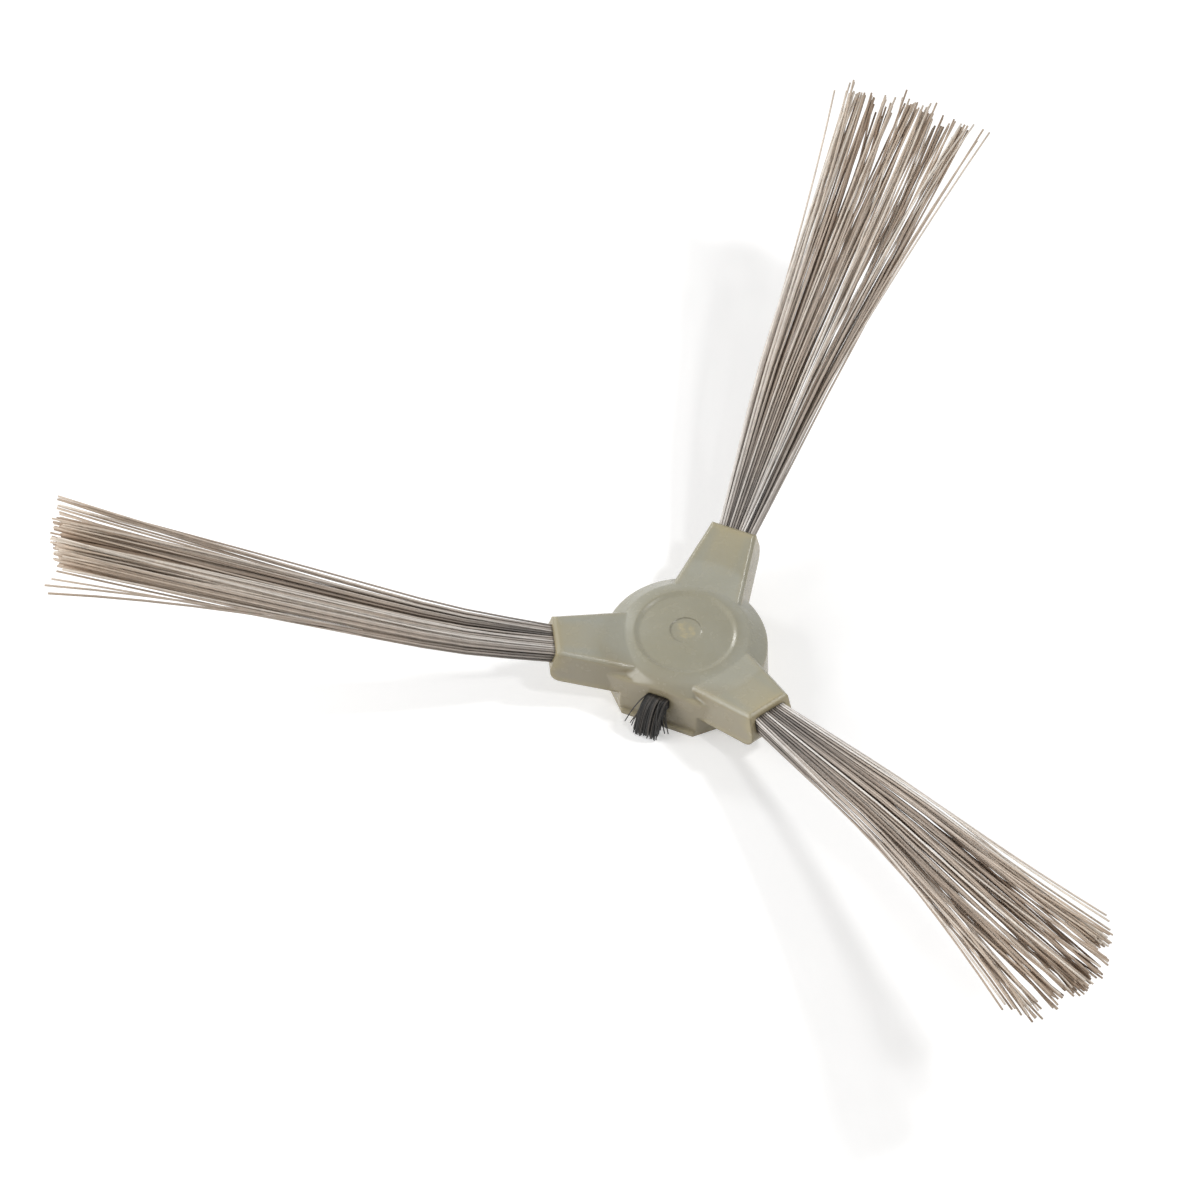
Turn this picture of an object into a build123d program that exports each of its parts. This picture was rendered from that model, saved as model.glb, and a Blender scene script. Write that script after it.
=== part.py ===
from build123d import *
import os
from math import cos, radians, sin, sqrt, tan

# Side brush of a robot vacuum, lying on its mounting side.
# Millimetres. Z runs up along the spin axis, and the origin is on that axis in the mounting plane.
# The rear arm points along +Y, and the flat facet that carries the short tuft faces -Y.

# Hub: the domed top
rim_radius = 12.0
rim_height = 6.8
rim_round = 0.4
shoulder_radius = 9.4
shoulder_height = 8.9
dish_radius = 7.5
dish_edge_height = 9.45
dish_step = 0.3
dish_step_width = 0.7
shoulder_round = 1.5
crown_height = 9.85
dimple_radius = 2.3
dimple_depth = 0.2

# Hub: the skirt, the facet at its front, the lip along the facet's foot and the flanks beside it
foot_radius = 12.3
facet_distance = 10.3
facet_block_half_width = 8.8
facet_block_height = 7.75
facet_round = 0.3
lip_distance = 10.7
lip_height = 1.0
flank_distance = 11.5
flank_height = 4.35
flank_turn = 45.0
wall = 1.7
cavity_ceiling = 6.6
rib_thickness = 1.4
rib_recess = 0.8

# Hub: the boss for the drive shaft
boss_radius = 5.3
lead_in_radius = 3.9
lead_in_depth = 1.6
socket_width = 5.0
socket_depth = 5.6

# Hub: the arms, measured in the vertical plane through each arm
arm_names = ("rear", "left", "right")
arm_count = 3
first_arm_angle = 90.0
arm_reach = 18.95
arm_top_height = 11.95
arm_rise = 15.7
arm_thickness = 5.75
arm_end_lean = 17.6
arm_end_half_width = 3.46
arm_taper = 8.1
arm_draft = 5.9
arm_inner_reach = 6.4
arm_edge_chamfer = 0.4
arm_tip_round = 1.8
arm_root_round = 0.4

# Pockets and tufts
pocket_width = 5.4
pocket_height = 2.7
pocket_corner = 0.6
pocket_depth = 8.0
exit_drop = 2.35
short_pocket_width = 3.4
short_pocket_height = 2.4
short_pocket_depth = 4.0
short_pocket_level = 5.4
short_block_wall = 1.3
tuft_clearance = 0.05
filament = 0.3
filament_columns = 11
filament_rows = 4
bend_shares = (0.3, 0.65, 1.0)
uneven_tips = 0.09
stray = 1.6
stray_stride = 3
tuft_depth = 8.0
short_filament_columns = 5
short_filament_rows = 4
short_tip_level = 0.5
short_tuft_out = 2.6
short_tuft_thickness = 0.4
short_tuft_turn = 75.0
short_tuft_fan = 4.4
short_tuft_sway = 0.5

# Long tufts, in the order of the arms: reach and height of the tips, clockwise bend, width of the fan
tuft_reaches = (90.3, 88.0, 87.6)
tuft_tip_heights = (36.0, 36.2, 31.6)
tuft_sways = (1.3, 6.3, 5.8)
tuft_fans = (24.5, 16.5, 20.0)
sway_power = 1.6

# Anchors: the thin plates that the filaments are folded over
anchor_thickness = 0.4
anchor_depth = 1.8
anchor_bite = 0.3
anchor_lift = 0.6

# Distance within which an edge counts as lying on a surface, tested at some shares of its length
near = 0.002
tested_shares = (0.1, 0.5, 0.9)


def dome_outline():
    """Half section of the hub's outside, from the axis at the crown down to the mounting plane."""
    step_inner = dish_radius - dish_step_width
    floor_edge = dish_edge_height - dish_step
    sag = crown_height - floor_edge
    crown_radius = (step_inner**2 + sag**2) / (2 * sag)
    crown = RadiusArc((0, crown_height), (step_inner, floor_edge), crown_radius)
    down = Polyline(
        (step_inner, floor_edge),
        (dish_radius, dish_edge_height),
        (shoulder_radius, shoulder_height),
        (rim_radius, rim_height),
        (foot_radius, 0),
        (0, 0),
        (0, crown_height),
    )
    outline = make_face(crown + down)
    rim = outline.vertices().sort_by_distance((rim_radius, rim_height))[0]
    outline = fillet(rim, rim_round)
    shoulder = outline.vertices().sort_by_distance((shoulder_radius, shoulder_height))[0]
    return fillet(shoulder, shoulder_round)


def body():
    """The turned dome, dish, gate dimple and skirt, with the facet, its lip and its flanks in front."""
    form = revolve(Plane.XZ * dome_outline(), Axis.Z)
    form -= Pos(0, 0, crown_height - dimple_depth) * Cylinder(
        dimple_radius, 2 * dimple_depth, align=(Align.CENTER, Align.CENTER, Align.MIN)
    )
    form += Pos(0, -facet_distance, 0) * Box(
        2 * facet_block_half_width,
        facet_distance,
        facet_block_height,
        align=(Align.CENTER, Align.MIN, Align.MIN),
    )
    deep = 2 * foot_radius
    above_lip = Box(deep, deep, deep, align=(Align.CENTER, Align.MAX, Align.MIN))
    at_lip = Box(deep, deep, deep, align=(Align.CENTER, Align.MAX, Align.CENTER))
    form -= Pos(0, -facet_distance, lip_height) * above_lip
    form -= Pos(0, -lip_distance, 0) * at_lip
    beside = Box(deep, deep, 2 * flank_height, align=(Align.CENTER, Align.MAX, Align.CENTER))
    for turn in (flank_turn, -flank_turn):
        form -= Rot(0, 0, turn) * Pos(0, -flank_distance, 0) * beside
    in_facet = form.edges().filter_by(lambda e: abs(e.center().Y + facet_distance) < near)
    top_edges = [e for e in in_facet if e.center().Z > facet_block_height - near]
    return fillet(top_edges, facet_round)


def arm_top(reach):
    """Height of the arm's top face at a distance from the axis."""
    return arm_top_height - (arm_reach - reach) * tan(radians(arm_rise))


def arm_side(side):
    """Plane of one side face of the arm, which tapers outwards and has draft: side is 1 or -1 along Y."""
    corner = (arm_reach, side * arm_end_half_width, arm_top_height)
    return Plane(origin=corner, z_dir=(tan(radians(arm_taper)), side, tan(radians(arm_draft))))


def exit_plane():
    """Plane of the arm's end face with its origin at the middle of the tuft's pocket."""
    lean = radians(arm_end_lean)
    drop = (arm_reach + exit_drop * sin(lean), 0, arm_top_height - exit_drop * cos(lean))
    return Plane(origin=drop, x_dir=(0, 1, 0), z_dir=(cos(lean), 0, sin(lean)))


def arm():
    """One arm along +X: a leaning bar cut to its sides, with a rounded lower end and eased top edges."""
    lean = radians(arm_end_lean)
    end_length = arm_thickness / cos(radians(arm_end_lean - arm_rise))
    profile = Polyline(
        (arm_inner_reach, arm_top(arm_inner_reach)),
        (arm_reach, arm_top_height),
        (arm_reach + end_length * sin(lean), arm_top_height - end_length * cos(lean)),
        (arm_inner_reach, arm_top(arm_inner_reach) - arm_thickness),
        close=True,
    )
    outline = make_face(profile)
    lower_end = outline.vertices().sort_by(Axis.X)[-1]
    form = extrude(Plane.XZ * fillet(lower_end, arm_tip_round), amount=arm_reach, both=True)
    for side in (1, -1):
        form = split(form, bisect_by=arm_side(side), keep=Keep.BOTTOM)
    top_face = max(form.faces(), key=lambda f: f.normal_at().Z)
    eased = [e for e in top_face.edges() if e.center().X > arm_inner_reach + near]
    return chamfer(eased, arm_edge_chamfer)


def arm_turns():
    """Rotations that carry the arm along +X to each arm's place."""
    pitch = 360 / arm_count
    return [Rot(0, 0, first_arm_angle + pitch * i) for i in range(arm_count)]


def lies_on(edge, form):
    """True where an edge runs along the surface of a form or a face."""
    return all(form.distance_to(Vertex(*(edge @ share))) < near for share in tested_shares)


def seams(joined, core, turn):
    """Edges above the flanks where an arm's two sides meet the body. Its top and underside stay unrounded."""
    sides = [turn * (arm_side(side) * Rectangle(2 * arm_reach, 2 * arm_reach)) for side in (1, -1)]
    on_body = [e for e in joined.edges() if e.center().Z > flank_height + near and lies_on(e, core)]
    return [e for e in on_body if any(lies_on(e, side) for side in sides)]


def shell():
    """Body and arms in one, with the roots of the arms rounded."""
    core = body()
    form = core + [turn * arm() for turn in arm_turns()]
    root_edges = []
    for turn in arm_turns():
        root_edges += seams(form, core, turn)
    return fillet(root_edges, arm_root_round)


def pocket(plane, width, height, depth, outside):
    """Rounded oblong block that runs from a plane inwards, and a little outwards."""
    outline = RectangleRounded(width, height, pocket_corner)
    inwards = extrude(plane * outline, amount=-depth)
    if outside > 0:
        return inwards + extrude(plane * outline, amount=outside)
    return inwards


def anchor(plane, width, depth):
    """Flat anchor plate across the bottom of a pocket, its ends biting into the plastic."""
    middle = plane * Pos(0, 0, -depth + anchor_lift + anchor_depth / 2)
    return middle * Box(width + 2 * anchor_bite, anchor_thickness, anchor_depth)


def anchor_seat(plane, width, depth):
    """Room that the anchor takes in the filaments and in the pocket's sides."""
    middle = plane * Pos(0, 0, -depth + anchor_lift + anchor_depth / 2)
    return middle * Box(
        width + 2 * (anchor_bite + tuft_clearance),
        anchor_thickness + 2 * tuft_clearance,
        anchor_depth + 2 * tuft_clearance,
    )


def short_exit_plane():
    """Plane of the facet with its origin at the middle of the short tuft's pocket."""
    return Plane(origin=(0, -facet_distance, short_pocket_level), x_dir=(1, 0, 0), z_dir=(0, -1, 0))


def cavity():
    """Hollow under the hub, with an even wall inside the skirt and around boss, ribs and a block."""
    inner_radius = rim_radius - wall
    room = Cylinder(inner_radius, cavity_ceiling, align=(Align.CENTER, Align.CENTER, Align.MIN))
    front = Pos(0, -(facet_distance - wall), 0) * Box(
        2 * inner_radius, inner_radius, 2 * cavity_ceiling, align=(Align.CENTER, Align.MAX, Align.CENTER)
    )
    boss = Cylinder(boss_radius, cavity_ceiling, align=(Align.CENTER, Align.CENTER, Align.MIN))
    block_bottom = short_pocket_level - short_pocket_height / 2 - short_block_wall
    block = Pos(0, 0, block_bottom) * Box(
        short_pocket_width + 2 * short_block_wall,
        inner_radius,
        cavity_ceiling,
        align=(Align.CENTER, Align.MAX, Align.MIN),
    )
    ribs = [
        turn * Pos(0, 0, rib_recess) * Box(
            inner_radius, rib_thickness, cavity_ceiling, align=(Align.MIN, Align.CENTER, Align.MIN)
        )
        for turn in arm_turns()
    ]
    return room - front - boss - block - ribs


def drive_socket():
    """Round lead-in and square socket for the drive shaft, open at the mounting face."""
    lead_in = Cylinder(lead_in_radius, lead_in_depth, align=(Align.CENTER, Align.CENTER, Align.MIN))
    square = Pos(0, 0, lead_in_depth) * Box(
        socket_width, socket_width, socket_depth, align=(Align.CENTER, Align.CENTER, Align.MIN)
    )
    return lead_in + square


def hub():
    """The whole moulding: body and arms in one, hollow below, with four pockets for the tufts."""
    form = shell() - cavity() - drive_socket()
    place = exit_plane()
    for turn in arm_turns():
        form = form - turn * pocket(place, pocket_width, pocket_height, pocket_depth, filament)
        form = form - turn * anchor_seat(place, pocket_width, pocket_depth)
    place = short_exit_plane()
    form = form - pocket(place, short_pocket_width, short_pocket_height, short_pocket_depth, filament)
    return form - anchor_seat(place, short_pocket_width, short_pocket_depth)


def root(plane, width, height, depth):
    """Packed filaments inside a pocket, folded over the anchor."""
    core = pocket(plane, width - 2 * tuft_clearance, height - 2 * tuft_clearance, depth - tuft_clearance, 0)
    return core - anchor_seat(plane, width, depth)


def strand(points, side, normals):
    """One filament: square sections at the points, each spanned by the side direction and its normal."""
    half = filament / 2
    sections = []
    for point, normal in zip(points, normals):
        across = side * half
        up = normal * half
        corners = [point - across - up, point + across - up, point + across + up, point - across + up]
        sections.append(Wire.make_polygon(corners, close=True))
    return Solid.make_loft(sections, ruled=True)


def uneven(index):
    """A share between 0 and 1 that differs from one filament to the next."""
    golden = (sqrt(5) - 1) / 2
    return (index * golden) % 1


def spread(index, count, room):
    """Place of one of several filaments, evenly spaced over a room."""
    return room * (index / (count - 1) - 0.5)


def filament_places(width, height, columns, rows):
    """Number and place of each filament in a pocket: rows of staggered columns, clear of its sides."""
    margin = 2 * tuft_clearance + 2 * filament
    stagger = (width - margin) / (2 * columns)
    places = []
    for row in range(rows):
        for column in range(columns):
            across = spread(column, columns, width - margin - stagger) + stagger * (row % 2 - 0.5)
            places.append((row * columns + column, across, spread(row, rows, height - margin)))
    return places


def long_tuft(turn, reach, tip_height, sway, fan):
    """Fan of filaments from one arm: it rises, bends clockwise by sway and opens as wide as fan."""
    start = exit_plane()
    run = reach - start.origin.X
    rise = tan(radians(arm_end_lean))
    bend = tip_height - start.origin.Z - rise * run
    side = Vector(0, 1, 0)
    up = Vector(0, 0, 1)
    strands = []
    places = filament_places(pocket_width, pocket_height, filament_columns, filament_rows)
    for number, across, above in places:
        first = start.origin + start.x_dir * across + start.y_dir * above
        length = run * (1 - uneven_tips * uneven(number))
        points = [first - start.z_dir * filament]
        for share in bend_shares:
            u = share * length
            along = u / run
            loose = along**2 * stray * (uneven(stray_stride * number) - 0.5)
            wide = across * along * (fan / pocket_width - 1)
            high = above * along * (tuft_depth / pocket_height - 1)
            lift = rise * u + bend * along**2
            points.append(first + Vector(u, wide + loose - sway * along**sway_power, lift + high))
        strands.append(strand(points, side, [up] * len(points)))
    form = root(start, pocket_width, pocket_height, pocket_depth)
    return turn * form.fuse(*strands)


def short_tuft():
    """Short tuft in the facet: its filaments leave it level and bend down beside the foot."""
    start = short_exit_plane()
    side = Vector(1, 0, 0)
    strands = []
    columns, rows = short_filament_columns, short_filament_rows
    for number, across, above in filament_places(short_pocket_width, short_pocket_height, columns, rows):
        first = start.origin + start.x_dir * across + start.y_dir * above
        above_share = above / (short_pocket_height / 2)
        out = short_tuft_out * (1 + short_tuft_thickness * above_share)
        drop = (first.Z - short_tip_level) * (1 - uneven_tips * uneven(number))
        points = [first - start.z_dir * filament]
        normals = [start.y_dir]
        for share in bend_shares:
            turned = radians(share * short_tuft_turn)
            away = out * sin(turned)
            down = drop * (1 - cos(turned)) / (1 - cos(radians(short_tuft_turn)))
            wide = across * share * (short_tuft_fan / short_pocket_width - 1) - short_tuft_sway * share
            points.append(first + Vector(wide, -away, -down))
            normals.append(Vector(0, -sin(turned), cos(turned)))
        strands.append(strand(points, side, normals))
    form = root(start, short_pocket_width, short_pocket_height, short_pocket_depth)
    return form.fuse(*strands)


def write(name, shape):
    """Writes one piece under its own name."""
    shape.label = name
    export_step(shape, f"parts/{name}.step")


os.makedirs("parts", exist_ok=True)
write("hub", hub())
tufts = zip(arm_names, arm_turns(), tuft_reaches, tuft_tip_heights, tuft_sways, tuft_fans)
for name, turn, reach, tip_height, sway, fan in tufts:
    write(f"anchor_{name}", turn * anchor(exit_plane(), pocket_width, pocket_depth))
    write(f"tuft_{name}", long_tuft(turn, reach, tip_height, sway, fan))
write("anchor_short", anchor(short_exit_plane(), short_pocket_width, short_pocket_depth))
write("tuft_short", short_tuft())
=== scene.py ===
# %% [markdown]
# A side brush of a robot vacuum, seen lying on the side that mounts on the robot.
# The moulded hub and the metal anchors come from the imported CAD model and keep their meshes.
# The bristles are soft, so each CAD tuft is replaced here by many fine round filaments.
# Units are metres. The millimetre below keeps the numbers readable.

# %% Load the frame
import math

import bpy
import numpy as np
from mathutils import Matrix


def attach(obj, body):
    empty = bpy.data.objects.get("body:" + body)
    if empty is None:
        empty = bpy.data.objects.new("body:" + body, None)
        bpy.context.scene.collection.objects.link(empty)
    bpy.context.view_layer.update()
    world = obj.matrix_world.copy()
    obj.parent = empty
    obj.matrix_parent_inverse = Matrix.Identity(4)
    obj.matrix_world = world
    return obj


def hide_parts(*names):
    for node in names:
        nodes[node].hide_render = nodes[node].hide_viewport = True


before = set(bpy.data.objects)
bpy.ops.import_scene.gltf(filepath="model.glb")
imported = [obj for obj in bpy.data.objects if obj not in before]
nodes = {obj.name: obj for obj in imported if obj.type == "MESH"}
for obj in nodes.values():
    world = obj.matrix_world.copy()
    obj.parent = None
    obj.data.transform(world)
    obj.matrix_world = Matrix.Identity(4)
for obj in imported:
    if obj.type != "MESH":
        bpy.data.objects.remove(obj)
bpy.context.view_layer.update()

MM = 0.001
print("CAD nodes:", sorted(nodes))

# %% [markdown]
# A camera or a lamp is placed by a matrix: three directions at right angles and a place.
# Two rotations would do as well, but with the directions it is plain where the thing points.
# Both look along their own -Z axis. The matrix goes to Blender as plain lists, column by column.

# %% Directions and places


def unit(vectors):
    """Vectors of length 1 along the last axis."""
    return vectors / np.linalg.norm(vectors, axis=-1, keepdims=True)


def put(thing, right, up, back, place):
    """Places an object: its X, Y and Z directions are right, up and back, and its origin is the place."""
    matrix = np.eye(4)
    matrix[:3] = np.column_stack([right, up, back, place])
    bpy.context.scene.collection.objects.link(thing)
    thing.matrix_world = matrix.T.tolist()


print("places ready")

# %% [markdown]
# The photo was taken from the front right and well above, with a long lens.
# The azimuth turns the camera about the upright axis, the elevation lifts it, and a small roll tips it.
# The offsets slide it sideways and up until the hub sits where it does in the photo,
# so no lens shift is needed.

# %% Camera
CAMERA_AZIMUTH = math.radians(23.15)
CAMERA_ELEVATION = math.radians(51.745)
CAMERA_ROLL = math.radians(-0.26)
CAMERA_DISTANCE = 483.0 * MM
CAMERA_ASIDE = -12.42 * MM
CAMERA_RAISED = 6.435 * MM
LOOKED_AT = np.array([0.0, 0.0, 6.4 * MM])
IMAGE_SIDE = 1200
FOCAL_PIXELS = 3317.0
SENSOR = 36.0


def camera_directions(azimuth, elevation, roll):
    """Forward, right and up of a camera that looks down on the origin.
    Forward comes from the two angles, right is level, up is their cross product,
    and the roll mixes right and up."""
    forward = np.array([
        -math.sin(azimuth) * math.cos(elevation),
        math.cos(azimuth) * math.cos(elevation),
        -math.sin(elevation),
    ])
    level = np.array([math.cos(azimuth), math.sin(azimuth), 0.0])
    upright = np.cross(level, forward)
    right = math.cos(roll) * level + math.sin(roll) * upright
    up = -math.sin(roll) * level + math.cos(roll) * upright
    return forward, right, up


forward, right, up = camera_directions(CAMERA_AZIMUTH, CAMERA_ELEVATION, CAMERA_ROLL)
camera_place = LOOKED_AT - forward * CAMERA_DISTANCE + right * CAMERA_ASIDE + up * CAMERA_RAISED
camera_data = bpy.data.cameras.new("camera")
camera_data.sensor_width = SENSOR
camera_data.lens = FOCAL_PIXELS / IMAGE_SIDE * SENSOR
camera_data.clip_start = 0.01
camera_data.clip_end = 20.0
camera = bpy.data.objects.new("camera", camera_data)
put(camera, right, up, -forward, camera_place)
bpy.context.scene.camera = camera
print("camera at", np.round(camera_place / MM, 1), "mm, lens", round(camera_data.lens, 1), "mm")

# %% [markdown]
# The light is that of a small studio tent with pale walls all round. A small soft box stands low
# at the back left and draws the bright arc on the right side of the dish. Two on the right draw
# the thin highlights along the edges of the rear arm and of the left arm, and a broad one
# at the front left lights the sides. An area lamp stands for each soft box, and the world for the walls.
# Their levels were matched to the hub in the photo.

# %% Studio light
LAMPS = {
    "lamp_back_left": {"at": (-0.474, 0.278, 0.293), "side": 0.08, "watts": 0.85},
    "lamp_right_back": {"at": (0.318, 0.150, 0.492), "side": 0.06, "watts": 1.1},
    "lamp_right_front": {"at": (0.310, -0.118, 0.508), "side": 0.05, "watts": 0.5},
    "lamp_front_left": {"at": (-0.420, -0.290, 0.270), "side": 0.40, "watts": 2.2},
}


def soft_box(name, at, side, watts):
    """Square area lamp at a place, facing the hub: its Z axis points away from it, its X axis is level."""
    data = bpy.data.lights.new(name, "AREA")
    data.shape = "SQUARE"
    data.size = side
    data.energy = watts
    away = unit(np.array(at) - LOOKED_AT)
    sideways = unit(np.cross([0.0, 0.0, 1.0], away))
    put(bpy.data.objects.new(name, data), sideways, np.cross(away, sideways), away, at)


for lamp_name, lamp_spec in LAMPS.items():
    soft_box(lamp_name, **lamp_spec)
print("lamps:", len(LAMPS))

# %% [markdown]
# Every material and the world are built from nodes, so a few helpers keep that short.
# The first ones add a node, join two sockets, and start a material.

# %% Helpers for nodes


def add_node(tree, kind, inputs=None, **settings):
    """Adds a shader node of a kind, with its own settings and the values of its inputs."""
    node = tree.nodes.new("ShaderNode" + kind)
    for key, value in settings.items():
        setattr(node, key, value)
    for key, value in (inputs or {}).items():
        node.inputs[key].default_value = value
    return node


def join(tree, source, target):
    """Joins an output socket to an input socket."""
    tree.links.new(source, target)


def new_material(name):
    """A material with an empty tree, its shader joined to its output. Returns material, tree and shader."""
    material = bpy.data.materials.new(name)
    material.use_nodes = True
    tree = material.node_tree
    tree.nodes.clear()
    output = add_node(tree, "OutputMaterial")
    shader = add_node(tree, "BsdfPrincipled")
    join(tree, shader.outputs[0], output.inputs["Surface"])
    return material, tree, shader


print("node helpers ready")

# %% [markdown]
# A finish is a sum of masks and colours. Masks are numbers from 0 to 1 on the surface, made by noise
# or by measuring where a point lies, and arithmetic and mixing turn them into colours.

# %% Helpers for masks and colours


def math_node(tree, operation, first, second=0.5):
    """One step of arithmetic on sockets or numbers."""
    node = add_node(tree, "Math", operation=operation)
    for value, index in ((first, 0), (second, 1)):
        if isinstance(value, bpy.types.NodeSocket):
            join(tree, value, node.inputs[index])
        else:
            node.inputs[index].default_value = value
    return node.outputs[0]


def times(tree, first, second):
    """The product of two numbers."""
    return math_node(tree, "MULTIPLY", first, second)


def mapped(tree, value, from_low, from_high, to_low=0.0, to_high=1.0):
    """Carries a number from one range to another, held at the ends."""
    node = add_node(tree, "MapRange", {1: from_low, 2: from_high, 3: to_low, 4: to_high})
    join(tree, value, node.inputs[0])
    return node.outputs[0]


def noise(tree, vector, scale, detail=2.0):
    """Smooth noise from 0 to 1 at a scale in features per metre."""
    node = add_node(tree, "TexNoise", {"Scale": scale, "Detail": detail, "Roughness": 0.5})
    join(tree, vector, node.inputs["Vector"])
    return node.outputs["Fac"]


def colour_ramp(tree, factor, stops):
    """Ramp from a factor to colours, given as (position, colour) pairs."""
    ramp = add_node(tree, "ValToRGB")
    elements = ramp.color_ramp.elements
    while len(elements) < len(stops):
        elements.new(0.5)
    for element, (position, colour) in zip(elements, stops):
        element.position = position
        element.color = (*colour, 1.0)
    join(tree, factor, ramp.inputs["Fac"])
    return ramp.outputs["Color"]


def mixed(tree, factor, first, second, blend="MIX"):
    """Mixes two colours, each a socket or a plain colour, by a factor that is a socket or a number."""
    mix = add_node(tree, "Mix", data_type="RGBA", blend_type=blend)
    for value, index in ((factor, 0), (first, 6), (second, 7)):
        if isinstance(value, bpy.types.NodeSocket):
            join(tree, value, mix.inputs[index])
        elif index == 0:
            mix.inputs[index].default_value = value
        else:
            mix.inputs[index].default_value = (*value, 1.0)
    return mix.outputs[2]


print("mask helpers ready")

# %% [markdown]
# The photo's background is pure white. Making the lamps brighter would burn out the brush,
# so the world is white only for camera, mirror and glass rays, and a slightly warm grey
# for the light it gives. Light Path tells these rays apart.

# %% World
WORLD_LIGHT = 0.26

world = bpy.data.worlds.new("studio")
world.use_nodes = True
bpy.context.scene.world = world
sky = world.node_tree
sky.nodes.clear()
ray = add_node(sky, "LightPath")
seen = math_node(sky, "MAXIMUM", ray.outputs["Is Camera Ray"], ray.outputs["Is Transmission Ray"])
seen = math_node(sky, "MAXIMUM", seen, ray.outputs["Is Glossy Ray"])
white = add_node(sky, "Background", {"Color": (1.0, 1.0, 1.0, 1.0), "Strength": 1.0})
walls = add_node(sky, "Background", {"Color": (1.0, 0.99, 0.97, 1.0), "Strength": WORLD_LIGHT})
either = add_node(sky, "MixShader")
join(sky, seen, either.inputs[0])
join(sky, walls.outputs[0], either.inputs[1])
join(sky, white.outputs[0], either.inputs[2])
sky_output = add_node(sky, "OutputWorld")
join(sky, either.outputs[0], sky_output.inputs["Surface"])
bpy.context.scene.view_settings.view_transform = "Standard"
print("world light", WORLD_LIGHT)

# %% [markdown]
# The brush rests on its foot ring, so the floor is at height zero.
# The floor is white card. It keeps the soft shadow of the brush, and a little glow of its own,
# seen by the camera and in mirrors only, lifts the lit card to the white of the photo.

# %% Floor
FLOOR_HALF = 3.0
FLOOR_WHITE = 0.82
FLOOR_GLOW = 0.36

floor_data = bpy.data.meshes.new("floor")
floor_corners = [(-1, -1), (1, -1), (1, 1), (-1, 1)]
floor_points = [(x * FLOOR_HALF, y * FLOOR_HALF, 0.0) for x, y in floor_corners]
floor_data.from_pydata(floor_points, [], [(0, 1, 2, 3)])
floor = bpy.data.objects.new("floor", floor_data)
bpy.context.scene.collection.objects.link(floor)
card, card_tree, card_shader = new_material("white_card")
card_shader.inputs["Base Color"].default_value = (FLOOR_WHITE, FLOOR_WHITE, FLOOR_WHITE, 1.0)
card_shader.inputs["Roughness"].default_value = 0.9
card_shader.inputs["Specular IOR Level"].default_value = 0.1
card_shader.inputs["Emission Color"].default_value = (1.0, 1.0, 1.0, 1.0)
card_ray = add_node(card_tree, "LightPath")
card_seen = math_node(
    card_tree, "MAXIMUM", card_ray.outputs["Is Camera Ray"], card_ray.outputs["Is Glossy Ray"]
)
join(card_tree, times(card_tree, card_seen, FLOOR_GLOW), card_shader.inputs["Emission Strength"])
floor_data.materials.append(card)
print("floor half side", FLOOR_HALF, "m")

# %% [markdown]
# The hub is one injection moulding in an olive grey plastic with a waxy, satin surface.
# Its shape is right in the CAD model, so only its finish is made here, from masks.
# A painted image could show the same patches, but a mask follows the shape and has no seams.
# Ambient occlusion counts how much of the near space is filled. Looking into the solid it finds
# the outer edges, and looking out of it the inner corners. Height and distance from the axis find
# the crown, the dish and the rim. A pair of numbers below says where a mask starts and is full,
# and a third and a fourth say from what to what it goes.

# %% Where the hub's colours lie
EDGE_WIDTH = 1.3 * MM
EDGE_FOUND = (0.05, 0.55)
# The corner width and range find the inner corners that are darkened with painted shade.
CORNER_WIDTH = 3.5 * MM
CORNER_FOUND = (0.10, 0.75)
RIM_RISE = (7.6 * MM, 8.8 * MM, 0.0, 0.5)
RIM_FALL = (12.4 * MM, 13.2 * MM, 1.0, 0.0)
LEFT_ARM = (-9.0 * MM, -13.0 * MM)
PATCH_SCALE = 130.0
PATCHES = (0.38, 0.62, 0.0, 0.3)
SCAR_HEIGHT = 9.3 * MM
SCAR_RAGGED = 2.4 * MM
SCAR_SCALE = 800.0
SCAR_LIMIT = (2.85 * MM, 2.25 * MM)
MOTTLE_SCALE = 1500.0
SCAR_MOTTLE = (0.38, 0.62, 0.15, 1.0)


def nearness(tree, distance, inside):
    """0 on open faces, towards 1 at outer edges when looking inside, and at inner corners when not."""
    filled = add_node(
        tree, "AmbientOcclusion", {"Distance": distance}, samples=8, inside=inside, only_local=True
    )
    return math_node(tree, "SUBTRACT", 1.0, filled.outputs["AO"])


def axis_parts(tree, vector):
    """The three parts of a vector, and its distance from the upright axis:
    the root of x squared + y squared."""
    parts = add_node(tree, "SeparateXYZ")
    join(tree, vector, parts.inputs[0])
    squares = [times(tree, parts.outputs[i], parts.outputs[i]) for i in (0, 1)]
    return parts.outputs, math_node(tree, "SQRT", math_node(tree, "ADD", *squares))


def scar_mask(tree, position, height, radius):
    """A mottled, ragged spot round the axis on the crown: where radius + noise is under a limit."""
    ragged = times(tree, noise(tree, position, SCAR_SCALE, 3.0), SCAR_RAGGED)
    spot = mapped(tree, math_node(tree, "ADD", radius, ragged), *SCAR_LIMIT)
    mottled = mapped(tree, noise(tree, position, MOTTLE_SCALE), *SCAR_MOTTLE)
    high = math_node(tree, "GREATER_THAN", height, SCAR_HEIGHT)
    return times(tree, times(tree, spot, mottled), high)


def cool_mask(tree, position, east, radius):
    """How cool the grey is: slow noise, raised on the rim of the dome and on the left arm."""
    slow = mapped(tree, noise(tree, position, PATCH_SCALE, 3.0), *PATCHES)
    on_rim = times(tree, mapped(tree, radius, *RIM_RISE), mapped(tree, radius, *RIM_FALL))
    on_left = mapped(tree, east, *LEFT_ARM)
    return math_node(tree, "ADD", slow, math_node(tree, "MAXIMUM", on_rim, on_left))


print("hub masks ready")
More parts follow.
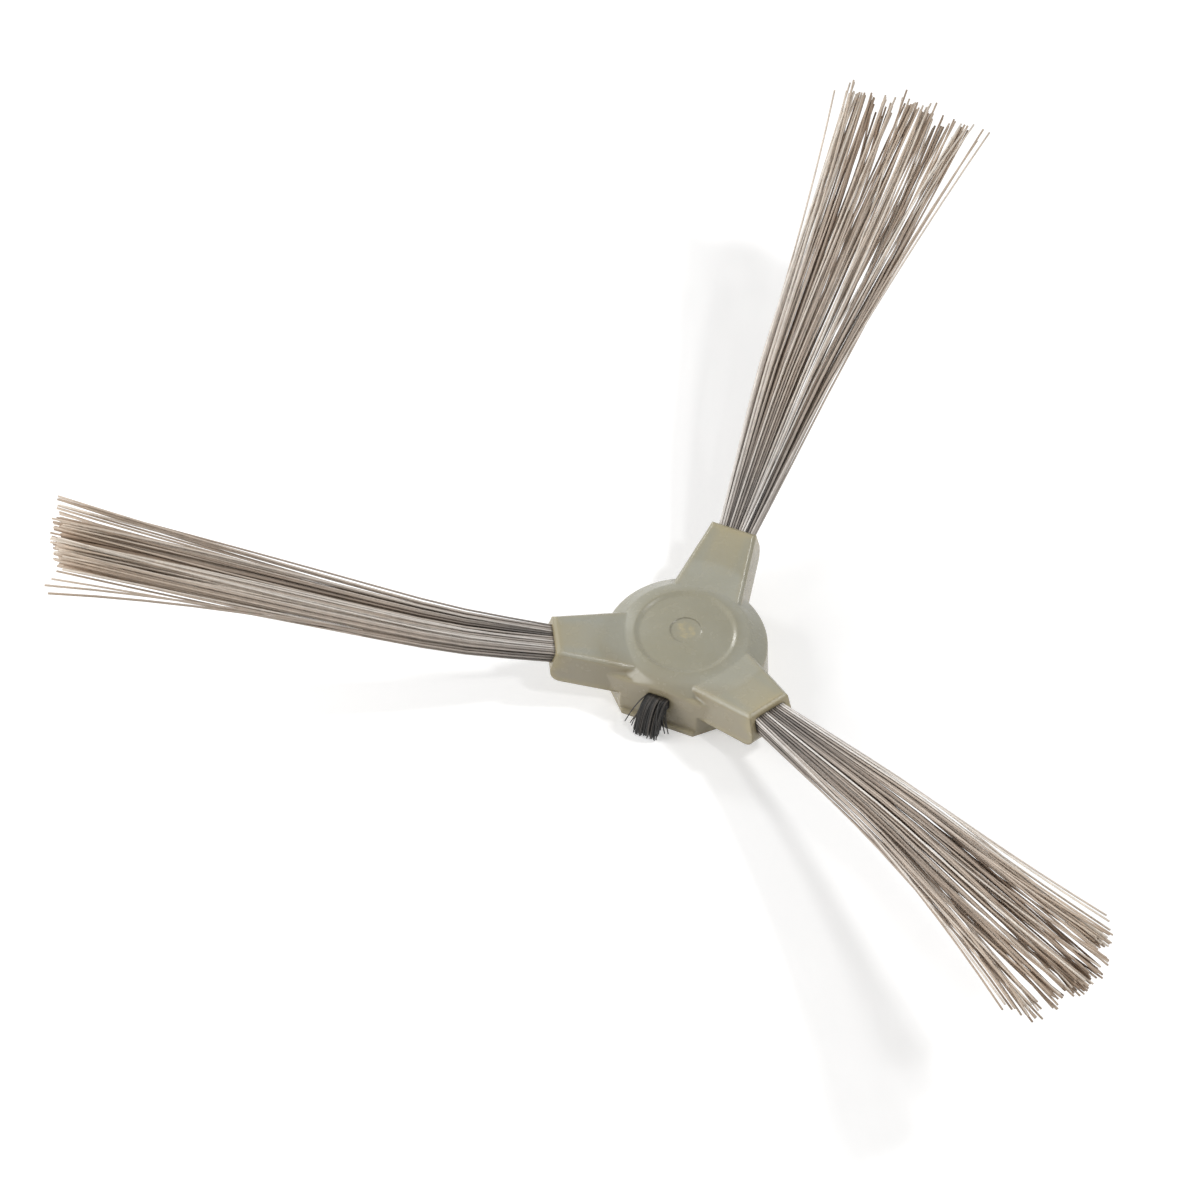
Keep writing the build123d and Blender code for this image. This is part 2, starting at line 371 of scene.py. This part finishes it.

# %% [markdown]
# Slow patches of cooler and warmer grey cover the hub, cooler on the rim and on the left arm.
# The front of the dome is painted browner and darker as shade, the steep sides are painted a warmer shade
# tint, the outer edges are yellower, and painted shade darkens the inner corners.
# On the crown is a rough yellow scar where the plastic entered the mould.
# The Bevel node rounds the shading of the sharp edges, which costs no faces.

# %% Hub plastic
HUB_WARM = (0.312, 0.296, 0.220)
HUB_COOL = (0.368, 0.366, 0.308)
# The side colour is a painted shade tint for the steep sides.
HUB_SIDE_SHADE = (0.345, 0.297, 0.205)
# The front colour is painted shade for the front of the dome.
HUB_FRONT_SHADE = (0.275, 0.240, 0.160)
HUB_EDGE = (0.420, 0.355, 0.205)
# The corner colour is painted shade for the inner corners.
HUB_CORNER_SHADE = (0.150, 0.125, 0.085)
HUB_SCAR = (0.460, 0.395, 0.235)
DISH_END = (8.2 * MM, 9.0 * MM)
DOME_END = (12.4 * MM, 13.2 * MM, 0.75, 0.0)
DOME_FRONT = (-6.5 * MM, -10.0 * MM)
STEEP = (0.75, 0.35, 0.0, 0.75)
SPECK_SCALE = 520.0
SPECKS = (0.35, 0.70)
SPECK_SHARE = 0.06
EDGE_SHARE = 0.70
CORNER_SHADE_SHARE = 0.42
SCAR_SHARE = 0.65
SATIN = (0.22, 0.30)
SOAK_SHARE = 0.12
SOAK_DEPTH = 0.8 * MM
EDGE_ROUND = 0.55 * MM
RIPPLE_SCALE = 420.0
RIPPLE_HEIGHT = 0.06 * MM
RIPPLE_STRENGTH = 0.09
SCAR_RELIEF = 1.5


def hub_colour(tree, position, specks, scar):
    """Olive grey from warm to cool, with painted shade on the front, a painted shade tint on the steep
    sides, specks, edges, painted shade in the inner corners and the scar laid over it.
    """
    (east, north, _), radius = axis_parts(tree, position)
    # The upright part of the normal picks the steep sides, which get a painted warmer shade tint.
    (_, _, facing_up), _ = axis_parts(tree, add_node(tree, "NewGeometry").outputs["Normal"])
    off_dish = mapped(tree, radius, *DISH_END)
    on_edges = mapped(tree, nearness(tree, EDGE_WIDTH, True), *EDGE_FOUND)
    # Painted shade: the inner corners, found by ambient occlusion looking out, are darkened.
    corner_shade = mapped(tree, nearness(tree, CORNER_WIDTH, False), *CORNER_FOUND)
    # Painted shade: the front of the dome, towards the rim, is made browner and darker.
    front_shade = times(tree, mapped(tree, north, *DOME_FRONT), mapped(tree, radius, *DOME_END))
    colour = mixed(tree, cool_mask(tree, position, east, radius), HUB_WARM, HUB_COOL)
    for mask, over in (
        (front_shade, HUB_FRONT_SHADE),
        (mapped(tree, facing_up, *STEEP), HUB_SIDE_SHADE),
        (times(tree, specks, SPECK_SHARE), HUB_EDGE),
        (times(tree, times(tree, on_edges, off_dish), EDGE_SHARE), HUB_EDGE),
        (times(tree, times(tree, corner_shade, off_dish), CORNER_SHADE_SHARE), HUB_CORNER_SHADE),
        (times(tree, scar, SCAR_SHARE), HUB_SCAR),
    ):
        colour = mixed(tree, mask, colour, over)
    return colour


def hub_plastic():
    """Satin olive plastic: the colour above, light that soaks in a little, soft edges, fine ripples."""
    material, tree, shader = new_material("hub_plastic")
    position = add_node(tree, "TexCoord").outputs["Object"]
    (_, _, height), radius = axis_parts(tree, position)
    specks = mapped(tree, noise(tree, position, SPECK_SCALE), *SPECKS)
    scar = scar_mask(tree, position, height, radius)
    join(tree, hub_colour(tree, position, specks, scar), shader.inputs["Base Color"])
    join(tree, mapped(tree, specks, 0.0, 1.0, *SATIN), shader.inputs["Roughness"])
    shader.inputs["Subsurface Weight"].default_value = SOAK_SHARE
    shader.inputs["Subsurface Radius"].default_value = (1.0, 0.9, 0.6)
    shader.inputs["Subsurface Scale"].default_value = SOAK_DEPTH
    rounded = add_node(tree, "Bevel", {"Radius": EDGE_ROUND}, samples=8).outputs["Normal"]
    ripples = noise(tree, position, RIPPLE_SCALE)
    relief = math_node(tree, "ADD", ripples, times(tree, scar, SCAR_RELIEF))
    bump = add_node(tree, "Bump", {"Strength": RIPPLE_STRENGTH, "Distance": RIPPLE_HEIGHT})
    join(tree, relief, bump.inputs["Height"])
    join(tree, rounded, bump.inputs["Normal"])
    join(tree, bump.outputs["Normal"], shader.inputs["Normal"])
    return material


def give_finish(node_name, material):
    """Replaces the plain material of a CAD node by a finished one."""
    slots = nodes[node_name].material_slots
    if not slots:
        nodes[node_name].data.materials.append(material)
    for material_slot in slots:
        material_slot.material = material


give_finish("hub", hub_plastic())
print("hub finished")

# %% [markdown]
# The anchors are short lengths of flat rolled wire, hidden in the pockets.
# Rolling leaves fine lines along the wire. Cut grooves would be lost at this size,
# so noise that is stretched along one direction draws them, in the roughness and as a faint bump.

# %% Anchor metal
LINE_SQUEEZE = 14.0
LINE_SCALE = 1500.0
LINE_GREYS = ((0.3, (0.50, 0.50, 0.48)), (0.7, (0.64, 0.63, 0.60)))
LINE_GLOSS = (0.3, 0.7, 0.28, 0.42)
LINE_HEIGHT = 0.03 * MM


def anchor_metal():
    """Grey steel with fine rolling lines: noise squeezed across the plate."""
    material, tree, shader = new_material("anchor_steel")
    position = add_node(tree, "TexCoord").outputs["Object"]
    squeeze = add_node(tree, "Mapping", {"Scale": (1.0, 1.0, LINE_SQUEEZE)})
    join(tree, position, squeeze.inputs["Vector"])
    lines = noise(tree, squeeze.outputs["Vector"], LINE_SCALE, 3.0)
    join(tree, colour_ramp(tree, lines, LINE_GREYS), shader.inputs["Base Color"])
    join(tree, mapped(tree, lines, *LINE_GLOSS), shader.inputs["Roughness"])
    shader.inputs["Metallic"].default_value = 1.0
    bump = add_node(tree, "Bump", {"Strength": 0.1, "Distance": LINE_HEIGHT})
    join(tree, lines, bump.inputs["Height"])
    join(tree, bump.outputs["Normal"], shader.inputs["Normal"])
    return material


steel = anchor_metal()
for anchor_name in ("anchor_rear", "anchor_left", "anchor_right", "anchor_short"):
    give_finish(anchor_name, steel)
print("anchors finished")

# %% [markdown]
# A bristle is a drawn nylon filament: a round rod of even thickness, cut square.
# Blender could make it from a curve with a bevel or from hair. Here all rods of a tuft are one mesh,
# worked out as one array: for each rod a line of centres, and round each centre a ring of points.
# The tangent and a fixed reference direction span the ring, so the rods don't twist.
# Six sides are enough at this thickness, with smooth shading.

# %% Rings and faces of the rods
ROD_SIDES = 6


def rod_points(centres, radii, reference):
    """Rings round the centres: centre + radius (cos a S + sin a U).
    U is the reference made square to the tangent T, and S is U x T, so that S, U and T are right-handed."""
    tangent = unit(np.gradient(centres, axis=1))
    across = unit(reference - tangent * np.sum(tangent * reference, axis=-1, keepdims=True))
    aside = np.cross(across, tangent)
    angle = np.arange(ROD_SIDES) * 2 * np.pi / ROD_SIDES
    ring = np.cos(angle)[:, None] * aside[:, :, None, :] + np.sin(angle)[:, None] * across[:, :, None, :]
    return centres[:, :, None, :] + radii[:, None, None, None] * ring


def rod_faces(rods, rings):
    """Corner numbers of the side quads and of the two end caps of every rod, all facing outwards."""
    side = np.arange(ROD_SIDES)
    following = (side + 1) % ROD_SIDES
    ring_start = (np.arange(rods)[:, None] * rings + np.arange(rings - 1)[None, :])[..., None] * ROD_SIDES
    quads = np.stack([
        ring_start + side,
        ring_start + following,
        ring_start + following + ROD_SIDES,
        ring_start + side + ROD_SIDES,
    ], axis=-1).reshape(-1, 4)
    first = np.arange(rods)[:, None] * rings * ROD_SIDES
    caps = np.concatenate([first + side[::-1], first + (rings - 1) * ROD_SIDES + side])
    return quads, caps


print("a rod has", ROD_SIDES, "sides")

# %% [markdown]
# The mesh takes the arrays whole. Every point also keeps two numbers for the material:
# the tone of its rod, from dark to light, and its place along the rod, counted in rings
# from 0 at the fold to 1 at the tip.

# %% Rods as a mesh


def rod_mesh(name, centres, radii, reference, tones):
    """One mesh of many rods. Its points keep the tone of their rod and their place along it."""
    rods, rings = centres.shape[:2]
    points = rod_points(centres, radii, reference).reshape(-1, 3)
    quads, caps = rod_faces(rods, rings)
    sizes = np.concatenate([np.full(len(quads), 4), np.full(len(caps), ROD_SIDES)])
    mesh = bpy.data.meshes.new(name)
    mesh.vertices.add(len(points))
    mesh.vertices.foreach_set("co", points.astype(np.float32).ravel())
    mesh.loops.add(int(sizes.sum()))
    corners = np.concatenate([quads.ravel(), caps.ravel()])
    mesh.loops.foreach_set("vertex_index", corners.astype(np.int32))
    mesh.polygons.add(len(sizes))
    mesh.polygons.foreach_set("loop_start", (np.cumsum(sizes) - sizes).astype(np.int32))
    mesh.polygons.foreach_set("loop_total", sizes.astype(np.int32))
    mesh.update(calc_edges=True)
    mesh.validate()
    mesh.polygons.foreach_set("use_smooth", sizes == 4)
    along = np.linspace(0.0, 1.0, rings)
    for key, per_ring in (
        ("tone", np.repeat(tones[:, None], rings, axis=1)),
        ("along", np.repeat(along[None, :], rods, axis=0)),
    ):
        values = np.repeat(per_ring.ravel(), ROD_SIDES).astype(np.float32)
        mesh.attributes.new(key, "FLOAT", "POINT").data.foreach_set("value", values)
    piece = bpy.data.objects.new(name, mesh)
    bpy.context.scene.collection.objects.link(piece)
    print(name, rods, "filaments,", len(mesh.polygons), "faces")
    return piece


print("rod meshes ready")

# %% [markdown]
# The nylon of the long bristles is taupe and lets a little light through.
# No two filaments look alike, so each rod's tone picks its colour on a ramp.
# Near the hub the bundle is a play of grey stripes, with near-black filaments as painted shade deep in the
# bundle, and towards the cut tips it is warmer.
# One material holds three ramps, and the place along the rod blends them.

# %% Filament nylon
TAUPE = ((0.0, (0.300, 0.225, 0.170)), (0.5, (0.700, 0.600, 0.510)), (1.0, (0.960, 0.900, 0.830)))
# The root ramp is grey tone, and its near-black low end is painted shade between filaments deep in the
# bundle.
ROOT_GREY_AND_SHADE = ((0.0, (0.020, 0.016, 0.014)), (0.5, (0.510, 0.455, 0.410)), (1.0, (0.920, 0.880, 0.840)))
TIP_BROWN = ((0.0, (0.380, 0.255, 0.165)), (0.5, (0.680, 0.535, 0.400)), (1.0, (0.920, 0.820, 0.700)))
BLACK = ((0.0, (0.010, 0.009, 0.008)), (0.7, (0.024, 0.022, 0.020)), (1.0, (0.070, 0.058, 0.048)))
NEAR_ROOT = (0.45, 0.22, 0.0, 0.95)
NEAR_TIP = (0.60, 1.0, 0.0, 0.7)
STREAK_SCALE = 700.0
STREAK_SHADES = ((0.25, (0.80, 0.80, 0.80)), (0.75, (1.0, 1.0, 1.0)))
STREAK_GLOSS = (0.2, 0.8, 0.40, 0.52)
CLEARNESS = 0.10


def attribute(tree, name):
    """A number kept on the mesh's points."""
    return add_node(tree, "Attribute", attribute_name=name).outputs["Fac"]


def nylon(name, ramp, root_ramp, tip_ramp, clearness):
    """Drawn nylon: the rod's tone gives the colour on a ramp that changes from root to tip.
    Streaks of noise darken it a little and make the gloss uneven."""
    material, tree, shader = new_material(name)
    position = add_node(tree, "TexCoord").outputs["Object"]
    along = attribute(tree, "along")
    tone = attribute(tree, "tone")
    colour = colour_ramp(tree, tone, ramp)
    for share, end_ramp in ((NEAR_ROOT, root_ramp), (NEAR_TIP, tip_ramp)):
        colour = mixed(tree, mapped(tree, along, *share), colour, colour_ramp(tree, tone, end_ramp))
    streaks = noise(tree, position, STREAK_SCALE)
    shade = colour_ramp(tree, streaks, STREAK_SHADES)
    join(tree, mixed(tree, 1.0, colour, shade, blend="MULTIPLY"), shader.inputs["Base Color"])
    join(tree, mapped(tree, streaks, *STREAK_GLOSS), shader.inputs["Roughness"])
    shader.inputs["Transmission Weight"].default_value = clearness
    return material


taupe_nylon = nylon("taupe_nylon", TAUPE, ROOT_GREY_AND_SHADE, TIP_BROWN, CLEARNESS)
black_nylon = nylon("black_nylon", BLACK, BLACK, BLACK, 0.0)
print("nylon ready")

# %% [markdown]
# A long tuft leaves the slanted end of its arm, rises, takes a bend clockwise and opens into a fan.
# The filaments stick together in clumps, with slits between them and a few strays at the sides.
# A hair system would scatter them evenly, so a tuft is described here instead, in millimetres and degrees,
# by where its arm points, how far and how high its tips reach, how steeply it leaves the arm,
# its bend and its fan from the first filament to the last, and a table of clumps at the tips.
# The bend is a slope, the share of the run where its hinge lies, and the change of slope there.

# %% Table of the long tufts
CLUMP_PARTS = ("count", "aside", "above", "width", "short", "ragged", "tone")
LONG_TUFTS = {
    "rear": {
        "turn": 90.0, "reach": 90.4, "tip_height": 35.9, "lean": 19.2, "bend": (2.0, 0.35, 5.0),
        "fan": (-10.6, 11.0), "tone": 0.50, "seed": 3,
        "clumps": (
            (1, -12.9, 0.0, 0.0, 1.6, 0.0, 0.1),
            (1, -12.0, 0.0, 0.0, 3.4, 0.0, 0.1),
            (1, -11.7, 0.0, 0.0, 1.4, 0.0, 0.1),
            (20, -8.4, 0.2, 4.2, 2.2, 1.8, 0.14),
            (11, -4.9, -0.4, 1.8, 2.2, 1.4, -0.25),
            (19, -2.2, 0.2, 2.6, 1.2, 1.8, -0.05),
            (18, 0.9, -0.2, 2.6, 0.8, 1.8, -0.02),
            (19, 4.2, 0.2, 3.0, 1.9, 1.8, 0.04),
            (11, 6.7, -0.2, 1.2, 1.7, 1.2, -0.18),
            (24, 9.4, 0.0, 3.5, 1.3, 1.6, 0.12),
            (1, 13.0, 0.0, 0.0, 1.9, 0.0, 0.1),
        ),
    },
    "left": {
        "turn": 210.0, "reach": 88.9, "tip_height": 36.1, "lean": 21.1, "bend": (1.5, 0.20, 11.9),
        "fan": (-4.4, 6.6), "tone": 0.42, "seed": 5,
        "clumps": (
            (1, -6.7, 0.2, 0.0, 2.0, 0.0, 0.1),
            (9, -5.4, 0.2, 1.0, 2.1, 0.6, 0.1),
            (24, -1.4, 0.5, 1.7, 2.0, 1.3, 0.0),
            (29, 0.4, -0.3, 2.2, 1.6, 1.3, -0.14),
            (32, 2.4, 0.3, 2.2, 1.6, 1.3, 0.06),
            (24, 4.1, -0.4, 1.4, 1.8, 1.3, -0.04),
            (4, 5.3, -0.2, 1.2, 1.8, 1.0, 0.02),
            (1, 8.2, 0.0, 0.0, 0.9, 0.0, 0.05),
            (1, 9.5, 0.0, 0.0, 0.0, 0.0, 0.05),
            (1, 10.9, 0.0, 0.0, 0.4, 0.0, 0.0),
        ),
    },
    "right": {
        "turn": 330.0, "reach": 88.7, "tip_height": 31.8, "lean": 17.4, "bend": (-1.0, 0.40, 6.0),
        "fan": (-9.6, 7.4), "tone": 0.40, "seed": 8,
        "clumps": (
            (1, -12.4, 0.0, 0.0, 4.8, 0.0, 0.0),
            (1, -11.5, 0.0, 0.0, 5.2, 0.0, 0.0),
            (2, -10.7, 0.0, 0.5, 4.6, 1.5, 0.0),
            (18, -8.6, 0.0, 3.4, 2.0, 2.4, 0.14),
            (22, -4.8, 0.3, 3.2, 0.8, 2.0, -0.05),
            (25, -1.6, -0.2, 3.4, 0.9, 2.0, -0.16),
            (25, 1.7, 0.3, 3.2, 1.1, 2.0, -0.04),
            (28, 5.8, 0.0, 3.4, 4.6, 1.8, 0.15),
            (2, 8.6, 0.2, 0.6, 5.8, 0.8, 0.1),
            (1, 10.0, 0.2, 0.0, 7.6, 0.0, 0.1),
        ),
    },
}
print("clumps:", {name: len(spec["clumps"]) for name, spec in LONG_TUFTS.items()})

# %% [markdown]
# In the pocket the filaments are packed in staggered rows. Sorting them by their place across the pocket
# and dealing them to the clumps in that order keeps them from crossing,
# and a little noise in the order makes a few cross, as real ones do.

# %% Filaments in the pocket
PACK_WIDTH = 4.95
PACK_HEIGHT = 2.25
PACK_COLUMNS = 14
PACK_ROWS = 9
PACK_SCATTER = 0.012
DEAL_SCATTER = 0.30


def packed_places(rng):
    """Sideways and upward places of the filaments in the pocket: staggered rows, slightly disturbed."""
    column, row = np.meshgrid(np.arange(PACK_COLUMNS), np.arange(PACK_ROWS))
    pitch = PACK_WIDTH / (PACK_COLUMNS - 0.5)
    aside = (column + 0.5 * (row % 2)) * pitch - PACK_WIDTH / 2
    above = row / (PACK_ROWS - 1) * PACK_HEIGHT - PACK_HEIGHT / 2
    places = np.stack([aside.ravel(), above.ravel()], axis=1)
    return places + rng.normal(0.0, PACK_SCATTER, places.shape)


def dealt_clumps(places, clumps, rng):
    """The parts of its clump for each filament, dealt in order of its sideways place plus noise.
    Filaments left over go to the largest clump."""
    table = np.array(clumps, dtype=float)
    order = np.argsort(places[:, 0] + rng.normal(0.0, DEAL_SCATTER, len(places)))
    counts = table[:, 0].astype(int)
    counts[np.argmax(counts)] += len(places) - counts.sum()
    number = np.empty(len(places), dtype=int)
    number[order] = np.repeat(np.arange(len(table)), counts)
    return dict(zip(CLUMP_PARTS, table[number].T))


print("filaments in a pocket:", PACK_COLUMNS * PACK_ROWS)

# %% [markdown]
# The filaments are folded over the anchor plate deep in the pocket, so each passes above or below it.
# The pocket leans with the arm, and the points inside it lie along its axis.
# The sizes of the arm repeat those of the CAD model.

# %% Inside the pocket
ARM_REACH = 18.95
ARM_TOP = 11.95
ARM_LEAN = math.radians(17.6)
EXIT_DROP = 2.35
POCKET_STOPS = (7.8, 5.1)
FOLD_ROOM = 0.42
INWARDS = np.array([-math.cos(ARM_LEAN), 0.0, -math.sin(ARM_LEAN)])
UPWARDS = np.array([-math.sin(ARM_LEAN), 0.0, math.cos(ARM_LEAN)])
SIDEWAYS = np.array([0.0, 1.0, 0.0])
EXIT = np.array([ARM_REACH, 0.0, ARM_TOP]) - EXIT_DROP * UPWARDS


def round_anchor(above):
    """Heights in the pocket, moved clear of the anchor plate in its middle."""
    return np.where(above < 0, -1.0, 1.0) * np.maximum(np.abs(above), FOLD_ROOM)


def pocket_lines(places):
    """Points inside a pocket: exit + place sideways + height upwards + depth inwards, at two depths."""
    base = EXIT + places[:, :1] * SIDEWAYS + round_anchor(places[:, 1])[:, None] * UPWARDS
    return base[:, None, :] + np.array(POCKET_STOPS)[None, :, None] * INWARDS


print("a tuft leaves its arm at", np.round(EXIT, 2), "mm")

# %% [markdown]
# The middle line of a tuft runs straight out of the arm, bends at a hinge and goes on almost straight,
# as bristles do that were worn and stored. At the tips each filament has its place in its clump,
# and the cuts differ. In the pocket neighbouring filaments look alike, which gives the broad light
# and dark stripes near the hub, and deeper ones are darker, as painted shade.

# %% Bend, tips and tones of a long tuft
HINGE_SOFTNESS = 0.08
LIFT_SPREAD = 1.2
LIFT_SCATTER = 0.25
CUT_RANGE = (-0.5, 0.6)
STRIPES = 10
STRIPE_TONE = 0.19
# Lower filaments in the pocket get a darker tone: painted shade deep in the bundle.
DEEP_SHADE = 0.11
OWN_TONE = 0.22


def middle_line(share, bend):
    """Sideways place of a tuft's middle: a slope up to the hinge, then a smooth change to another slope.
    With d the distance beyond the hinge, the change grows as half of (root of (d^2 + softness^2) + d),
    less what that is at the exit."""
    first, hinge, change = bend
    past = np.sqrt((share - hinge) ** 2 + HINGE_SOFTNESS**2) + share - hinge
    before = math.sqrt(hinge**2 + HINGE_SOFTNESS**2) - hinge
    return first * share - change * (past - before) / 2


def tip_places(places, clump, rng):
    """For each filament how far aside and above its tip lies, and how much shorter it was cut.
    Aside is the clump's place + its width times a random share. Above is the clump's place
    + the lift of the filament's row, but strays, which have no width, get no lift."""
    count = len(places)
    aside = clump["aside"] + clump["width"] * rng.uniform(-0.5, 0.5, count)
    lift = LIFT_SPREAD * places[:, 1] + rng.normal(0.0, LIFT_SCATTER, count)
    above = clump["above"] + (clump["width"] > 0) * lift
    short = clump["short"] + clump["ragged"] * rng.uniform(*CUT_RANGE, count)
    return aside, above, np.maximum(short, 0.0)


def filament_tones(places, clump, tone, rng):
    """Tone of each filament: that of the tuft + its stripe + its height in the pocket, which darkens
    the deeper ones as painted shade, + noise + that of its clump, held between 0 and 1."""
    stripe_middles = np.linspace(-PACK_WIDTH / 2, PACK_WIDTH / 2, STRIPES)
    stripes = STRIPE_TONE * np.interp(places[:, 0], stripe_middles, rng.normal(size=STRIPES))
    own = OWN_TONE * rng.normal(size=len(places))
    return np.clip(tone + stripes + DEEP_SHADE * places[:, 1] + own + clump["tone"], 0, 1)


print("stripes across a tuft:", STRIPES)

# %% [markdown]
# Up to the middle of its length a fan is even. The filaments move to their clumps late,
# so the slits open late, and a power of the share of the run does that.
# The lines are worked out for an arm that points along X, and then turned to their own arm.

# %% Long tufts
FILAMENT_RADIUS = 0.15
THICKNESS_SCATTER = 0.05
THICKNESS_SEED = 50
ROD_STEPS = 12
BOW = 0.22
LATE = 3.0


def long_tuft_lines(spec):
    """Centre points of the filaments of a long tuft, in its arm's own directions and in millimetres,
    and their tones. With s the share of the run, a point lies at the exit plus
    (run s - the lean of its place (1 - s),
    place (1 - s) + even fan s + (tip - even fan) s^LATE + middle line at s + bow sin pi s,
    place (1 - s) + tip s + rise run s + sag s^2 + bow sin pi s).
    The first points lie in the pocket, along its axis."""
    rng = np.random.default_rng(spec["seed"])
    places = packed_places(rng)
    clump = dealt_clumps(places, spec["clumps"], rng)
    run = spec["reach"] - EXIT[0]
    rise = math.tan(math.radians(spec["lean"]))
    sag = spec["tip_height"] - EXIT[2] - rise * run
    tip_aside, tip_above, short = tip_places(places, clump, rng)
    even_aside = np.interp(places[:, 0], (-PACK_WIDTH / 2, PACK_WIDTH / 2), spec["fan"])
    share = np.linspace(0.0, 1.0, ROD_STEPS)[None, :] * (1.0 - short / run)[:, None]
    bow = np.sin(np.pi * share) * rng.normal(0.0, BOW, (2, len(places)))[:, :, None]
    fan = places[:, :1] + (even_aside - places[:, 0])[:, None] * share
    into_clumps = (tip_aside - even_aside)[:, None] * share**LATE
    lifted = places[:, 1:] + (tip_above - places[:, 1])[:, None] * share
    outside = np.stack([
        EXIT[0] + run * share - places[:, 1:] * math.sin(ARM_LEAN) * (1 - share),
        fan + into_clumps + middle_line(share, spec["bend"]) + bow[0],
        EXIT[2] + rise * run * share + sag * share**2 + lifted + bow[1],
    ], axis=-1)
    tones = filament_tones(places, clump, spec["tone"], rng)
    return np.concatenate([pocket_lines(places), outside], axis=1), tones


def turned(points, degrees):
    """Points turned about the upright axis, and millimetres made metres."""
    angle = math.radians(degrees)
    matrix = np.array([
        [math.cos(angle), -math.sin(angle), 0.0],
        [math.sin(angle), math.cos(angle), 0.0],
        [0.0, 0.0, 1.0],
    ])
    return points @ matrix.T * MM


for tuft_name, tuft_spec in LONG_TUFTS.items():
    long_lines, long_tones = long_tuft_lines(tuft_spec)
    thickness_rng = np.random.default_rng(tuft_spec["seed"] + THICKNESS_SEED)
    long_tuft = rod_mesh(
        "bristles_" + tuft_name,
        turned(long_lines, tuft_spec["turn"]),
        FILAMENT_RADIUS * MM * thickness_rng.normal(1.0, THICKNESS_SCATTER, len(long_lines)),
        np.array([0.0, 0.0, 1.0]),
        long_tones,
    )
    long_tuft.data.materials.append(taupe_nylon)
    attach(long_tuft, "root")
    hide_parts("tuft_" + tuft_name)

# %% [markdown]
# The short dark tuft comes out of the facet at the front, bulges a little, and hangs down
# beside the foot as one dense lock. A hanging curve made by hand would serve for one filament.
# For all of them each line is a quarter of an ellipse: out by the sine of an angle and down
# by one minus its cosine. The upper filaments take the outer way round, so the lock keeps its thickness.
# A few filaments stand off to the left and the right.

# %% Short tuft
FACET = 10.3
SHORT_LEVEL = 5.4
SHORT_WIDTH = 3.1
SHORT_HEIGHT = 2.1
SHORT_COLUMNS = 20
SHORT_ROWS = 12
SHORT_RADIUS = 0.09
SHORT_STOPS = (3.8, 1.2)
SHORT_SEED = 11
SHORT_OUT = 2.25
SHORT_THICKNESS = 0.50
SHORT_UNEVEN = 0.03
SHORT_TURN = math.radians(82.0)
SHORT_TIP = 0.35
SHORT_RAGGED = 0.10
SHORT_DRIFT = -0.85
SHORT_SPLAY = 0.14
SHORT_WANDER = 0.10
SHORT_BULGE = 0.5
SHORT_PEAK = 0.7
SIDE_POWER = 1.5
SHORT_TONE = 0.4
SHORT_OWN_TONE = 0.35
STRAYS = 14
STRAY_LENGTH = (0.6, 0.95)
STRAY_ASIDE = (0.7, 1.7)


def short_pocket_lines(aside, above):
    """Points inside the short tuft's pocket, along Y, passing above or below the anchor plate."""
    depths = np.array(SHORT_STOPS) - FACET
    return np.stack([
        np.repeat(aside[:, None], len(depths), axis=1),
        np.repeat(depths[None, :], len(aside), axis=0),
        np.repeat((SHORT_LEVEL + round_anchor(above))[:, None], len(depths), axis=1),
    ], axis=-1)


def short_tuft_lines():
    """Centre points of the short tuft in millimetres, and tones. The angle a goes up to the whole turn A,
    and s = sin(a / 2) / sin(A / 2) is the share of the way. A point lies at
    (place + (drift + splay times place) s + its own way aside s^SIDE_POWER,
    -(facet + out sin a),
    level + place - drop (1 - cos a) / (1 - cos A) + bulge sin pi s).
    Strays are shorter and go further aside."""
    rng = np.random.default_rng(SHORT_SEED)
    column, row = np.meshgrid(np.arange(SHORT_COLUMNS), np.arange(SHORT_ROWS))
    aside = ((column + 0.5 * (row % 2)) / (SHORT_COLUMNS - 0.5) - 0.5).ravel() * SHORT_WIDTH
    above = (row / (SHORT_ROWS - 1) - 0.5).ravel() * SHORT_HEIGHT
    count = len(aside)
    stray = np.zeros(count, dtype=bool)
    stray[rng.choice(count, STRAYS, replace=False)] = True
    layers = 1 + SHORT_THICKNESS * above / (SHORT_HEIGHT / 2)
    out = SHORT_OUT * layers * rng.normal(1.0, SHORT_UNEVEN, count)
    drop = (SHORT_LEVEL + above - SHORT_TIP) * (1.0 - SHORT_RAGGED * rng.uniform(0.0, 1.0, count) ** 2)
    drop = np.where(stray, drop * rng.uniform(*STRAY_LENGTH, count), drop)
    far_aside = np.sign(aside) * rng.uniform(*STRAY_ASIDE, count)
    own_aside = np.where(stray, far_aside, SHORT_WANDER * rng.normal(size=count))
    angle = np.linspace(0.0, 1.0, ROD_STEPS)[None, :] * SHORT_TURN
    share = np.sin(angle / 2) / math.sin(SHORT_TURN / 2)
    fall = (1 - np.cos(angle)) / (1 - math.cos(SHORT_TURN))
    peak = SHORT_PEAK * np.maximum(1 - np.abs(aside - SHORT_WIDTH / 6), 0.0)
    bulge = ((SHORT_BULGE + peak) * np.maximum(above, 0.0))[:, None] * np.sin(np.pi * share)
    drift = (SHORT_DRIFT + SHORT_SPLAY * aside)[:, None] * share
    outside = np.stack([
        aside[:, None] + drift + own_aside[:, None] * share**SIDE_POWER,
        -FACET - out[:, None] * np.sin(angle),
        SHORT_LEVEL + above[:, None] - drop[:, None] * fall + bulge,
    ], axis=-1)
    tones = np.clip(SHORT_TONE + SHORT_OWN_TONE * rng.normal(size=count), 0, 1)
    return np.concatenate([short_pocket_lines(aside, above), outside], axis=1), tones


short_lines, short_tones = short_tuft_lines()
short_tuft = rod_mesh(
    "bristles_short",
    short_lines * MM,
    np.full(len(short_lines), SHORT_RADIUS * MM),
    np.array([1.0, 0.0, 0.0]),
    short_tones,
)
short_tuft.data.materials.append(black_nylon)
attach(short_tuft, "root")
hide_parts("tuft_short")
